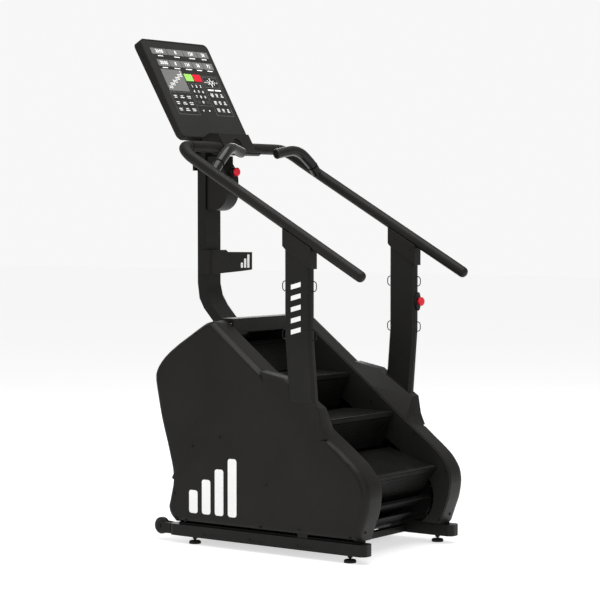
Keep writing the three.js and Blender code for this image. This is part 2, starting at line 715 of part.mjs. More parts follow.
// The post from a level up to its slanted top, which runs along below the tube.
function postUpTo(grow, zLow) {
  const low = POST.y - POST.depth;
  const high = POST.y + POST.depth;
  const topAt = (y) => railHeight(y) - POST_BELOW_RAIL + grow;
  const above = sideSlab(outline([[low, topAt(low)], [high, topAt(high)], [high, 1400], [low, 1400]]),
    POST.x - POST.thick, POST.x + POST.thick);
  return cut(postBody(grow, zLow, 1300), above);
}

// Collar that wraps the top of the post and carries the tube.
function postCollar() {
  const front = POST.y - POST.depth / 2 - 5;
  const rear = POST.y + POST.depth / 2 + 5;
  const under = 16;
  const shape = outline([[rear, railHeight(rear) - under], [rear, 1200], [rear - 16, 1185],
    [front, 1112], [front, railHeight(front) - under]]);
  const block = sideSlab(shape, POST.x - POST.thick / 2 - 4, POST.x + POST.thick / 2 + 4);
  return cut(block, postUpTo(GAP, 1000), railClearance(-520, -120));
}

// The straight stretch of handrail tube between two distances, with air round it.
function railClearance(yLow, yHigh) {
  const low = new THREE.Vector3(HANDRAIL_X, yLow, railHeight(yLow));
  const high = new THREE.Vector3(HANDRAIL_X, yHigh, railHeight(yHigh));
  return sweep([low, high], TUBE + GAP);
}

function handrailPost() {
  const inside = postBody(-SHEET, POST.foot - 10, 1120);
  return cut(postUpTo(0, POST.foot), inside);
}

// Curved grip in front of the crossbar, rising from the handrail.
function innerGrip() {
  const route = [[356, 96, 1480], [318, 97, 1515], [280, 101, 1550], [246, 107, 1574], [226, 112, 1581],
    [204, 118, 1583], [182, 123, 1581], [152, 130, 1575], [112, 138, 1566]];
  const grip = sweep(route.map(([x, y, z]) => new THREE.Vector3(x, y, z)), 21, 16);
  return cut(grip, railClearance(-40, 220));
}

function buildHandrails() {
  addPair('handrail', handrail(), gripRubber);
  addPair('handrail_post', handrailPost(), blackPaint);
  addPair('post_collar', postCollar(), coverPlastic);
  addPair('inner_grip', innerGrip(), gripRubber);
  const { y, z, half } = CROSSBAR;
  add('crossbar', barX(TUBE, -half, half, y, z, TUBE_SIDES), gripRubber);
}

// ---------------------------------------------------------------- mast and console
function mast() {
  const { rear, front, half, top } = MAST;
  const run = (end) => mastRun(rear, front, end);
  const tube = sideSlab(outline(run(top)), -half, half);
  const bore = sideSlab(outline(insetOutline(run(top + 20), SHEET)), -half + SHEET, half - SHEET);
  return cut(tube, bore);
}

function mastRun(rear, front, top) {
  const rearRun = [[rear, top], [rear, 1036], [412, 972], [388, 930], [343, 882], [250, 786]];
  const frontRun = [[218, 814], [293, 892], [341, 944], [367, 984], [front, 1032], [front, top]];
  return [...rearRun, ...frontRun];
}

const NECK_HALF = 42;

function neckCover() {
  const back = MAST.front - GAP;
  const shape = new THREE.Shape();
  shape.moveTo(back, 1340);
  shape.lineTo(352, 1334);
  shape.absarc(352, 1412, 78, -Math.PI / 2, -Math.PI, true);
  shape.lineTo(276, 1470);
  shape.lineTo(284, 1500);
  shape.lineTo(304, 1528);
  shape.lineTo(304, 1560);
  shape.lineTo(back, 1560);
  return sideSlab(shape, -NECK_HALF, NECK_HALF);
}

// Band round the mast with a wing that reaches out to the right.
function badgeBand() {
  const front = 350;
  const skin = 4;
  const left = -MAST.half - 5;
  const shape = new THREE.Shape();
  shape.moveTo(left, MAST.front + 29);
  shape.lineTo(left, front + 12);
  shape.quadraticCurveTo(left, front, left + 20, front);
  shape.lineTo(222, front);
  shape.quadraticCurveTo(236, front, 238, front + 14);
  shape.lineTo(234, front + 14);
  shape.quadraticCurveTo(232, front + skin, 220, front + skin);
  shape.lineTo(left + 20, front + skin);
  shape.quadraticCurveTo(left + skin, front + skin, left + skin, front + 14);
  shape.lineTo(left + skin, MAST.front + 29);
  const face = outline([[left - 1, 1172], [MAST.half, 1172], [MAST.half + 14, 1163], [250, 1159],
    [250, 1086], [150, 1080], [MAST.half, 1076], [left - 1, 1071]]);
  return common(planSlab(shape, 1000, 1200), frontSlab(face, front - 10, MAST.front + 40));
}

// The console is drawn lying down, with its lower edge on the origin, and then tilted up.
function tilted(geometry) {
  const stand = Math.PI / 2 - CONSOLE.tilt;
  return geometry.rotateX(stand).translate(0, CONSOLE_LOW.y, CONSOLE_LOW.z);
}

function consoleHousing() {
  const { half, length, thick, thinEnd } = CONSOLE;
  const body = planSlab(roundedRect([-half, 0], [half, length], 26), -thick, -2);
  const rim = planSlab(roundedRect([-half, 0], [half, length], 26), -2 - 1, 0);
  const recess = planSlab(roundedRect([-half + 7, 7], [half - 7, length - 7], 20), -6, 1);
  const thinning = outline([[-1, -thick - 1], [-1, -thinEnd], [length, -thick - 1]]);
  const wedge = sideSlab(thinning, -half - 1, half + 1);
  return tilted(cut(join(body, rim), recess, wedge));
}

function consolePanel() {
  const { half, length } = CONSOLE;
  const edge = 7 + GAP;
  const shape = roundedRect([-half + edge, edge], [half - edge, length - edge], 20 - GAP);
  return tilted(planSlab(shape, -6 + GAP, -1));
}

// A block that wraps the middle of the crossbar. Its front leans back like the console's face and
// has a round pocket, and a thin lip runs forward along its foot.
function consoleCradle() {
  const half = 100;
  const lean = THREE.MathUtils.degToRad(30);
  const shape = outline([[206, 1567], [206, 1573], [226, 1577], [232, 1584], [270, 1650], [318, 1652],
    [356, 1631], [356, 1602], [318, 1576], [290, 1562], [216, 1560]]);
  const block = sideSlab(shape, -half, half);
  const bar = barX(TUBE + GAP, -half - 20, half + 20, CROSSBAR.y, CROSSBAR.z, TUBE_SIDES);
  const pocket = new THREE.CylinderGeometry(24, 24, 30, 24).rotateX(-lean).translate(0, 247, 1610);
  return cut(block, bar, pocket);
}

function consoleBracket() {
  const near = MAST.rear + 0.6;
  const far = MAST.rear + 10;
  const shape = outline([[near, 1500], [far, 1500], [far, 1650], [446, 1700], [434, 1700],
    [near + 0.6, 1681]]);
  return sideSlab(shape, -70, 70);
}

function buildConsole() {
  add('mast', mast(), blackPaint);
  add('neck_cover', neckCover(), coverPlastic);
  add('badge_band', badgeBand(), coverPlastic);
  add('console_housing', consoleHousing(), coverPlastic);
  add('console_panel', consolePanel(), screenFace);
  add('console_cradle', consoleCradle(), coverPlastic);
  add('console_bracket', consoleBracket(), blackPaint);
}

// ---------------------------------------------------------------- emergency stops
function stopButton() {
  const profile = [[0, 0], [8, 0], [8, 12.5], [STOP_RADIUS, 14.5], [STOP_RADIUS, 22], [13, 27], [0, 28]];
  const points = profile.map(([r, h]) => new THREE.Vector2(r, h));
  return new THREE.LatheGeometry(points, 24).rotateX(Math.PI);
}

function stopHousing(halfWidth, halfHeight, depth) {
  const shape = new THREE.Shape().absellipse(0, 0, halfWidth, halfHeight, 0, Math.PI * 2);
  const body = frontSlab(shape, -depth, 0, { curveSegments: 14 });
  const bore = new THREE.CylinderGeometry(8.6, 8.6, 18, 20).translate(0, -depth + 4, 0);
  return cut(body, bore);
}

function buildStops() {
  const depth = 10;
  const places = [
    ['neck', 0, 276, 1494, 19, 19],
    ['post', HANDRAIL_X, POST.y - POST.depth / 2, 965, 17, 38],
  ];
  for (const [name, x, y, z, wide, tall] of places) {
    const housing = add(`stop_housing_${name}`, stopHousing(wide, tall, depth), coverPlastic);
    housing.position.set(x, y - GAP, z);
    const button = add(`stop_button_${name}`, stopButton(), redPlastic);
    button.position.set(x, y - GAP - depth + 6, z);
  }
}

buildBase();
buildWheels();
buildSteps();
buildDrive();
buildCovers();
buildHandrails();
buildConsole();
buildStops();
machine.children.forEach((child) => {
  child.position.y += CENTRE_SHIFT;
});

export default machine;
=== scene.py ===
import json
import math

import bmesh
import bpy
from mathutils import Matrix, Vector


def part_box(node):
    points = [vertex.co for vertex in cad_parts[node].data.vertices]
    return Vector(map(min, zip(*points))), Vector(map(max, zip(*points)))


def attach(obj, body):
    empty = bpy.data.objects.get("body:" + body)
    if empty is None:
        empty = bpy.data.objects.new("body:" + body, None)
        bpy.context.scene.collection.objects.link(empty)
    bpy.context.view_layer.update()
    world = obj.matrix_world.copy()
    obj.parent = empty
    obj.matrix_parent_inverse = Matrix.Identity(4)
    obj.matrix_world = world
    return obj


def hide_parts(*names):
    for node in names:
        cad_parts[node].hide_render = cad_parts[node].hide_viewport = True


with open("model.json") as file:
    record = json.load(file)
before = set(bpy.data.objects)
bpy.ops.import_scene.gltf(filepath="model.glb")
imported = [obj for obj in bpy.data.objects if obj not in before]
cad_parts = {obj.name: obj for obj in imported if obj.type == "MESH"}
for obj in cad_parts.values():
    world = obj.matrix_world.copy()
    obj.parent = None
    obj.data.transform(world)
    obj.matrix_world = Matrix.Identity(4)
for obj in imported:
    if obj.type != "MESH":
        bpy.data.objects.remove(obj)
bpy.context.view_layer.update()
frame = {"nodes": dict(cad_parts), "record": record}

# A stair climber seen from its left front. Metres, +Z up, +Y towards the console, +X the user's right.
MM = 0.001
NODES = frame["nodes"]
BODIES = frame["record"]["behaviour"]["bodies"]
BODY_OF = {node: body for body, members in BODIES.items() for node in members}

COVER_REACH = abs(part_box("side_cover_left")[0][0])   # from the middle to the outer face of a side cover
CONSOLE_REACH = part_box("console_housing")[1][0]      # from the middle to the side of the console
RIGHT, ALONG, UP = (1, 0, 0), (0, 1, 0), (0, 0, 1)   # the machine's own directions


# ---------------------------------------------------------------- camera, lights and studio
BACKDROP = 0.935    # brightness of the surround where it is seen
AMBIENT = 0.5       # and its strength as light
FLOOR_GLOW = 0.62   # keeps the floor as pale as the surround

CAMERA_PLACE = (-6.638, -4.930, 1.334)
CAMERA_HEADING = (0.8058, 0.5906, -0.0436)
LENS, SENSOR, FAR_CLIP = 122.6, 36.0, 200.0

# Name, place, height on the machine that it is aimed at, width of the lamp, power in watts.
LAMPS = (
    ("top_light", (-0.4, -0.8, 5.4), 0.6, 4.0, 260.0),
    ("front_light", (-2.2, -5.2, 2.6), 1.0, 2.4, 45.0),
    ("side_light", (-5.5, 1.6, 2.2), 0.8, 2.6, 40.0),
    ("back_light", (4.5, 4.0, 3.0), 1.0, 3.0, 70.0),
)


def aimed(name, data, place, heading):
    made = bpy.data.objects.new(name, data)
    made.location = place
    made.rotation_euler = heading.to_track_quat("-Z", "Y").to_euler()
    bpy.context.scene.collection.objects.link(made)
    return made


def camera_and_lights():
    view = bpy.data.cameras.new("camera")
    view.lens, view.sensor_width, view.clip_end = LENS, SENSOR, FAR_CLIP
    bpy.context.scene.camera = aimed("camera", view, CAMERA_PLACE, Vector(CAMERA_HEADING))
    for name, place, aim_height, size, power in LAMPS:
        light = bpy.data.lights.new(name, "AREA")
        light.size, light.energy = size, power
        aimed(name, light, place, Vector((0.0, 0.0, aim_height)) - Vector(place))


def studio():
    """A pale surround: bright behind the machine, softer as the light that falls on it."""
    world = bpy.data.worlds.new("studio")
    world.use_nodes = True
    tree = world.node_tree
    backdrop = tree.nodes["Background"]
    backdrop.inputs["Color"].default_value = (BACKDROP, BACKDROP, BACKDROP, 1.0)
    seen = tree.nodes.new("ShaderNodeLightPath")
    strength = tree.nodes.new("ShaderNodeMapRange")
    strength.inputs["To Min"].default_value = AMBIENT
    tree.links.new(seen.outputs["Is Camera Ray"], strength.inputs["Value"])
    tree.links.new(strength.outputs["Result"], backdrop.inputs["Strength"])
    bpy.context.scene.world = world
    bpy.context.scene.view_settings.view_transform = "Standard"


# ---------------------------------------------------------------- shader writing
class Wire:
    """A socket of a material's tree. Python's operators on it add Math nodes."""

    def __init__(self, tree, socket=None):
        self.tree, self.socket = tree, socket

    def node(self, kind, settings=None, inputs=None, out=0):
        made = self.tree.nodes.new(kind)
        for key, value in (settings or {}).items():
            if key == "stops":
                ramp = made.color_ramp
                for element, (position, level) in zip(ramp.elements, value):
                    element.position, element.color = position, (level, level, level, 1.0)
            else:
                setattr(made, key, value)
        for key, value in (inputs or {}).items():
            socket = made.inputs[key]
            if isinstance(value, Wire):
                self.tree.links.new(value.socket, socket)
            else:
                socket.default_value = value
        return Wire(self.tree, made.outputs[out])

    def _math(self, operation, first, second):
        return self.node("ShaderNodeMath", {"operation": operation}, {0: first, 1: second})

    def __add__(self, other): return self._math("ADD", self, other)
    def __radd__(self, other): return self._math("ADD", other, self)
    def __sub__(self, other): return self._math("SUBTRACT", self, other)
    def __rsub__(self, other): return self._math("SUBTRACT", other, self)
    def __mul__(self, other): return self._math("MULTIPLY", self, other)
    def __rmul__(self, other): return self._math("MULTIPLY", other, self)


def four(colour):
    return (*colour, 1.0)


def finish(name, base, worn, rough, spread, metallic=0.0, coat=0.0, grain=900.0, depth=0.12, blotch=5.0,
           specular=0.5):
    """A finish whose colour drifts between base and worn, with uneven gloss and a fine grain."""
    material = bpy.data.materials.new(name)
    material.use_nodes = True
    tree = material.node_tree
    shader = tree.nodes["Principled BSDF"]
    start = Wire(tree)
    place = start.node("ShaderNodeTexCoord", out="Object")

    def noise(scale, detail):
        sockets = {"Vector": place, "Scale": scale, "Detail": detail}
        return start.node("ShaderNodeTexNoise", {}, sockets, "Fac")

    clouds = noise(blotch, 4.0)
    specks = noise(blotch * 22.0, 3.0)
    wear = start.node("ShaderNodeValToRGB", {"stops": [(0.38, 0.0), (0.68, 1.0)]},
                      {"Fac": clouds * 0.7 + specks * 0.3})
    colour = start.node("ShaderNodeMix", {"data_type": "RGBA"}, {0: wear, 6: four(base), 7: four(worn)}, 2)
    gloss = rough + (noise(blotch * 3.0, 3.0) - 0.5) * spread + (specks - 0.5) * (spread * 0.5)
    bumps = noise(grain, 2.0)
    ripple = noise(grain / 12.0, 2.0)
    relief = start.node("ShaderNodeBump", {}, {"Strength": depth, "Distance": 0.6 * MM,
                                               "Height": bumps * 0.8 + ripple * 0.35}, "Normal")
    for key, wire in (("Base Color", colour), ("Roughness", gloss), ("Normal", relief)):
        tree.links.new(wire.socket, shader.inputs[key])
    shader.inputs["Metallic"].default_value = metallic
    shader.inputs["Coat Weight"].default_value = coat
    shader.inputs["Specular IOR Level"].default_value = specular
    return material


def glowing(material, strength):
    """Lets a finish give off white light of its own."""
    shader = material.node_tree.nodes["Principled BSDF"]
    shader.inputs["Emission Color"].default_value = (1.0, 1.0, 1.0, 1.0)
    shader.inputs["Emission Strength"].default_value = strength


COVER = finish("cover_plastic", (0.0080, 0.0074, 0.0067), (0.0115, 0.0107, 0.0097), 0.42, 0.16, grain=1400.0,
               depth=0.22, specular=0.13)
PAINT = finish("powder_paint", (0.0066, 0.0062, 0.0057), (0.0098, 0.0091, 0.0084), 0.36, 0.14, grain=500.0,
               depth=0.16, specular=0.14)
PLATE = finish("tread_paint", (0.0030, 0.0029, 0.0027), (0.0065, 0.0063, 0.0058), 0.5, 0.22, grain=700.0,
               depth=0.3, blotch=9.0, specular=0.08)
RIB = finish("rib_wear", (0.0055, 0.0053, 0.0049), (0.0115, 0.0111, 0.0104), 0.45, 0.2, grain=700.0,
             depth=0.25, blotch=14.0, specular=0.10)
# The nose strips stand up from the plate, and their lighter colour is painted highlight along each tread's
# nose.
NOSE_PAINTED_HIGHLIGHT = finish("nosing_painted_highlight", (0.0115, 0.0112, 0.0105), (0.0190, 0.0185, 0.0172), 0.42, 0.2, grain=600.0,
                depth=0.2, blotch=14.0, specular=0.15)
INNER = finish("inner_wall", (0.0115, 0.0115, 0.0100), (0.0165, 0.0165, 0.0145), 0.45, 0.15, depth=0.15,
               specular=0.14)
GRIP = finish("grip_sleeve", (0.0085, 0.0079, 0.0073), (0.0120, 0.0112, 0.0104), 0.5, 0.14, grain=1100.0,
              depth=0.3, specular=0.14)
RUBBER = finish("foot_rubber", (0.007, 0.007, 0.007), (0.012, 0.0115, 0.011), 0.7, 0.12, grain=800.0,
                depth=0.3, specular=0.2)
WHEEL = finish("wheel_plastic", (0.009, 0.009, 0.009), (0.016, 0.0155, 0.015), 0.5, 0.15, specular=0.25)
GLOSSY = finish("glossy_grip", (0.009, 0.0088, 0.0085), (0.012, 0.0118, 0.0112), 0.22, 0.08, coat=0.06,
                grain=900.0, depth=0.03, specular=0.22)
CAST = finish("cast_metal", (0.16, 0.16, 0.165), (0.10, 0.10, 0.105), 0.55, 0.2, metallic=0.8, grain=420.0,
              depth=0.4)
SCREEN = finish("face_overlay", (0.0150, 0.0150, 0.0140), (0.0185, 0.0185, 0.0173), 0.38, 0.12, grain=1600.0,
                depth=0.08, specular=0.14)
CELL = finish("display_cell", (0.13, 0.13, 0.128), (0.16, 0.16, 0.157), 0.3, 0.1, grain=1600.0, depth=0.02,
              specular=0.3)
LEGEND = finish("white_print", (0.80, 0.80, 0.79), (0.88, 0.88, 0.87), 0.5, 0.1, grain=1600.0, depth=0.04)
RED = finish("red_plastic", (0.66, 0.004, 0.022), (0.56, 0.003, 0.018), 0.34, 0.12, grain=1300.0, depth=0.05,
             specular=0.3)
GREEN = finish("green_key", (0.30, 0.62, 0.13), (0.26, 0.56, 0.11), 0.4, 0.1, grain=1300.0, depth=0.05,
               specular=0.3)
SCREW = finish("screw_black", (0.0035, 0.0035, 0.0035), (0.0060, 0.0060, 0.0058), 0.42, 0.12, grain=600.0,
               depth=0.1, specular=0.15)
# Near black: the grip rings, the rail seals, and the disc of painted shade in the cradle's pocket.
DARK = finish("dark_recess", (0.003, 0.003, 0.003), (0.004, 0.004, 0.004), 0.7, 0.1, grain=600.0, depth=0.1,
              specular=0.1)
KEY = finish("soft_key", (0.030, 0.030, 0.029), (0.040, 0.040, 0.038), 0.5, 0.12, grain=1600.0, depth=0.06,
             specular=0.2)
BLACKENED = finish("blackened_steel", (0.0030, 0.0030, 0.0028), (0.0060, 0.0058, 0.0054), 0.55, 0.2,
                   grain=400.0, depth=0.2, specular=0.07)
FLOOR = finish("studio_floor", (0.62, 0.62, 0.62), (0.63, 0.63, 0.63), 0.9, 0.05, grain=40.0, depth=0.02,
               blotch=0.5, specular=0.1)
glowing(FLOOR, FLOOR_GLOW)


# ---------------------------------------------------------------- making pieces
def new_object(name, mesh, *materials):
    piece = bpy.data.objects.new(name, mesh)
    bpy.context.scene.collection.objects.link(piece)
    mesh.materials.clear()
    for material in materials:
        mesh.materials.append(material)
    return piece


def settled(piece):
    """Turns the modifiers of a piece into plain mesh."""
    shown = piece.evaluated_get(bpy.context.evaluated_depsgraph_get())
    mesh = bpy.data.meshes.new_from_object(shown, depsgraph=bpy.context.evaluated_depsgraph_get())
    piece.modifiers.clear()
    old, piece.data = piece.data, mesh
    bpy.data.meshes.remove(old)
    return piece


def shaded(piece, sharp=35.0):
    piece.data.polygons.foreach_set("use_smooth", [True] * len(piece.data.polygons))
    piece.data.set_sharp_from_angle(angle=math.radians(sharp))
    return piece


def rounded_edges(piece, width, steps=2, sharp=32.0):
    """Breaks the sharp edges of a piece and evens its shading."""
    shaded(piece, sharp)
    bevel = piece.modifiers.new("edges", "BEVEL")
    bevel.width, bevel.segments = width, steps
    bevel.limit_method, bevel.angle_limit = "ANGLE", math.radians(sharp)
    bevel.harden_normals = False
    settled(piece)
    shaded(piece, 50.0)
    even = piece.modifiers.new("even", "WEIGHTED_NORMAL")
    even.keep_sharp, even.weight = True, 60
    return settled(piece)


def welded_copy(node, quads=False):
    """A CAD piece's mesh with its loose triangles joined, into quads or into whole flat faces."""
    mesh = NODES[node].data.copy()
    work = bmesh.new()
    work.from_mesh(mesh)
    bmesh.ops.remove_doubles(work, verts=work.verts, dist=1e-5)
    if quads:
        bmesh.ops.join_triangles(work, faces=work.faces, angle_face_threshold=math.radians(25),
                                 angle_shape_threshold=math.radians(40))
    else:
        bmesh.ops.dissolve_limit(work, angle_limit=math.radians(0.6), verts=work.verts, edges=work.edges)
    for face in work.faces:
        face.material_index = 0
    work.to_mesh(mesh)
    work.free()
    return mesh


def stands_for(piece, node):
    """Puts a piece in the place of a CAD node, on the node's own body."""
    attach(piece, BODY_OF[node])
    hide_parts(node)
    return piece


def belongs(piece, body):
    """Adds a piece that has no CAD node of its own to a body."""
    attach(piece, body)
    return piece


def finer(node, material, width=1.5 * MM, steps=2, sharp=32.0):
    """The CAD piece again, with broken edges and smooth round faces."""
    piece = new_object(node + "_fine", welded_copy(node), material)
    if width:
        rounded_edges(piece, width, steps, sharp)
    else:
        shaded(piece, 40.0)
    return stands_for(piece, node)


def finer_tube(node, material):
    """The CAD tube again, with its facets and bends rounded off."""
    piece = new_object(node + "_fine", welded_copy(node, quads=True), material)
    round_off = piece.modifiers.new("round", "SUBSURF")
    round_off.levels = round_off.render_levels = 2
    settled(piece)
    shaded(piece, 60.0)
    return stands_for(piece, node)


class Place:
    """A flat place on the machine: u runs to the right, v up, and w out of the surface."""

    def __init__(self, origin, right, up):
        self.origin, self.right, self.up = Vector(origin), Vector(right).normalized(), Vector(up).normalized()
        self.out = self.right.cross(self.up)

    def point(self, u, v, w=0.0):
        return self.origin + self.right * u + self.up * v + self.out * w

    def matrix(self):
        turn = Matrix((self.right, self.up, self.out)).transposed().to_4x4()
        return Matrix.Translation(self.origin) @ turn


def lofted(work, loops):
    """A closed skin over a run of loops that have the same number of corners."""
    for one, two in zip(loops, loops[1:]):
        for i in range(len(one)):
            j = (i + 1) % len(one)
            work.faces.new((one[i], one[j], two[j], two[i]))
    work.faces.new(loops[0][::-1])
    work.faces.new(loops[-1])


def prism(work, place, pairs, low, high):
    """A closed slab over an outline given as (u, v) pairs, from one height to another."""
    lofted(work, [[work.verts.new(place.point(u, v, level)) for u, v in pairs] for level in (low, high)])


def corner_rect(u0, v0, u1, v1, radius, steps=4):
    pairs = []
    for cu, cv, begin in ((u1 - radius, v1 - radius, 0), (u0 + radius, v1 - radius, 90),
                          (u0 + radius, v0 + radius, 180), (u1 - radius, v0 + radius, 270)):
        for i in range(steps + 1):
            angle = math.radians(begin + 90.0 * i / steps)
            pairs.append((cu + radius * math.cos(angle), cv + radius * math.sin(angle)))
    return pairs


def disc(u, v, radius, count=20):
    return [(u + radius * math.cos(2 * math.pi * i / count), v + radius * math.sin(2 * math.pi * i / count))
            for i in range(count)]


def tube(work, points, radius, sides):
    """A round rod with closed ends along a list of points."""
    rings, side = [], None
    for i, point in enumerate(points):
        heading = (points[min(i + 1, len(points) - 1)] - points[max(i - 1, 0)]).normalized()
        if side is None:
            side = heading.orthogonal()
        side = (side - heading * side.dot(heading)).normalized()
        other = heading.cross(side)
        rings.append([work.verts.new(point + side * across + other * above)
                      for across, above in disc(0.0, 0.0, radius, sides)])
    lofted(work, rings)


def piece_from(name, work, *materials):
    bmesh.ops.recalc_face_normals(work, faces=work.faces)
    mesh = bpy.data.meshes.new(name)
    work.to_mesh(mesh)
    work.free()
    return shaded(new_object(name, mesh, *materials), 40.0)


# ---------------------------------------------------------------- repeated shapes by nodes
def node_tree(name, sockets):
    tree = bpy.data.node_groups.new(name, "GeometryNodeTree")
    tree.interface.new_socket("Geometry", in_out="OUTPUT", socket_type="NodeSocketGeometry")
    keys = {}
    for label, kind in sockets:
        keys[label] = tree.interface.new_socket(label, in_out="INPUT", socket_type=kind).identifier
    return tree, keys


def linked(tree, kind, settings=None, **links):
    made = tree.nodes.new(kind)
    for key, value in (settings or {}).items():
        setattr(made, key, value)
    for key, value in links.items():
        socket = made.inputs[key.replace("_", " ")]
        if isinstance(value, bpy.types.NodeSocket):
            tree.links.new(value, socket)
        else:
            socket.default_value = value
    return made


def ending(tree, geometry, material_socket):
    real = linked(tree, "GeometryNodeRealizeInstances", Geometry=geometry)
    coated = linked(tree, "GeometryNodeSetMaterial", Geometry=real.outputs[0], Material=material_socket)
    tree.links.new(coated.outputs[0], tree.nodes.new("NodeGroupOutput").inputs[0])


def rib_tree():
    """A row of bars along u, spaced along v, each lying on w = 0."""
    tree, keys = node_tree("rib_row", [("Count", "NodeSocketInt"), ("Spacing", "NodeSocketFloat"),
                                       ("Length", "NodeSocketFloat"), ("Width", "NodeSocketFloat"),
                                       ("Height", "NodeSocketFloat"), ("Finish", "NodeSocketMaterial")])
    given = tree.nodes.new("NodeGroupInput")
    step = linked(tree, "ShaderNodeCombineXYZ", Y=given.outputs["Spacing"])
    size = linked(tree, "ShaderNodeCombineXYZ", X=given.outputs["Length"], Y=given.outputs["Width"],
                  Z=given.outputs["Height"])
    line = linked(tree, "GeometryNodeMeshLine", {"mode": "OFFSET"}, Count=given.outputs["Count"],
                  Offset=step.outputs[0])
    bar = linked(tree, "GeometryNodeMeshCube", Size=size.outputs[0])
    row = linked(tree, "GeometryNodeInstanceOnPoints", Points=line.outputs[0], Instance=bar.outputs[0])
    ending(tree, row.outputs[0], given.outputs["Finish"])
    return tree, keys


def scatter_tree():
    """A copy of one part on every point, turned so that its w axis follows the point's facing."""
    tree, keys = node_tree("scattered_parts", [
        ("Points", "NodeSocketGeometry"), ("Part", "NodeSocketObject"), ("Scale", "NodeSocketFloat"),
        ("Finish", "NodeSocketMaterial")])
    given = tree.nodes.new("NodeGroupInput")
    facing = linked(tree, "GeometryNodeInputNamedAttribute", {"data_type": "FLOAT_VECTOR"}, Name="facing")
    turn = linked(tree, "FunctionNodeAlignRotationToVector", {"axis": "Z"}, Vector=facing.outputs[0])
    part = linked(tree, "GeometryNodeObjectInfo", Object=given.outputs["Part"])
    size = linked(tree, "ShaderNodeCombineXYZ", X=given.outputs["Scale"], Y=given.outputs["Scale"],
                  Z=given.outputs["Scale"])
    copies = linked(tree, "GeometryNodeInstanceOnPoints", Points=given.outputs["Points"],
                    Instance=part.outputs["Geometry"], Rotation=turn.outputs[0], Scale=size.outputs[0])
    ending(tree, copies.outputs[0], given.outputs["Finish"])
    return tree, keys


RIBS, RIB_KEYS = rib_tree()
SCATTER, SCATTER_KEYS = scatter_tree()


def with_tree(holder, tree, keys, values):
    modifier = holder.modifiers.new("nodes", "NODES")
    modifier.node_group = tree
    for label, value in values.items():
        modifier[keys[label]] = value
    return settled(holder)


def rib_row(name, place, count, spacing, length, width, height, material):
    holder = new_object(name, bpy.data.meshes.new(name), material)
    with_tree(holder, RIBS, RIB_KEYS, {"Count": count, "Spacing": spacing, "Length": length, "Width": width,
                                       "Height": height, "Finish": material})
    holder.data.transform(place.matrix())
    return holder


def scattered(name, part, places, scale, material):
    """places is a list of (point, facing)."""
    mesh = bpy.data.meshes.new(name)
    mesh.from_pydata([point for point, _ in places], [], [])
    facing = mesh.attributes.new("facing", "FLOAT_VECTOR", "POINT")
    for i, (_, direction) in enumerate(places):
        facing.data[i].vector = direction
    holder = new_object(name, mesh, material)
    with_tree(holder, SCATTER, SCATTER_KEYS, {"Part": part, "Scale": scale, "Finish": material})
    return shaded(holder, 30.0)


SCREW_SIDES = 18
# Radius and height in screw radii: the seat, the side, the top's rounded rim, and down into the recess.
SCREW_PROFILE = ((1.0, -0.3), (1.0, 0.28), (0.82, 0.46), (0.46, 0.46), (0.42, 0.12))


def screw_part():
    """A low socket screw of unit radius with a round recess."""
    work = bmesh.new()
    lofted(work, [[work.verts.new((x, y, height)) for x, y in disc(0.0, 0.0, radius, SCREW_SIDES)]
                  for radius, height in SCREW_PROFILE])
    bmesh.ops.recalc_face_normals(work, faces=work.faces)
    mesh = bpy.data.meshes.new("screw_part")
    work.to_mesh(mesh)
    work.free()
    return new_object("screw_part", mesh, SCREW)


# ---------------------------------------------------------------- covers, base, posts
CLOSE = 0.5 * MM     # a corner of the plate's outer face is found within this
OVERLAP = 0.2 * MM   # and goes this far into the cover


def closing_plate(node):
    """An inner wall with a flange that closes the slit up to its side cover."""
    mesh = welded_copy(node)
    low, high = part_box(node)
    side = 1 if high[0] > 0 else -1
    outer = max(abs(low[0]), abs(high[0]))
    cover = min(abs(edge[0]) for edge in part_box(node.replace("plate", "cover")))
    for vertex in mesh.vertices:
        if abs(vertex.co.x) > outer - CLOSE:
            vertex.co.x = side * (cover + OVERLAP)
    stands_for(rounded_edges(new_object(node + "_fine", mesh, INNER), 0.8 * MM, 1), node)


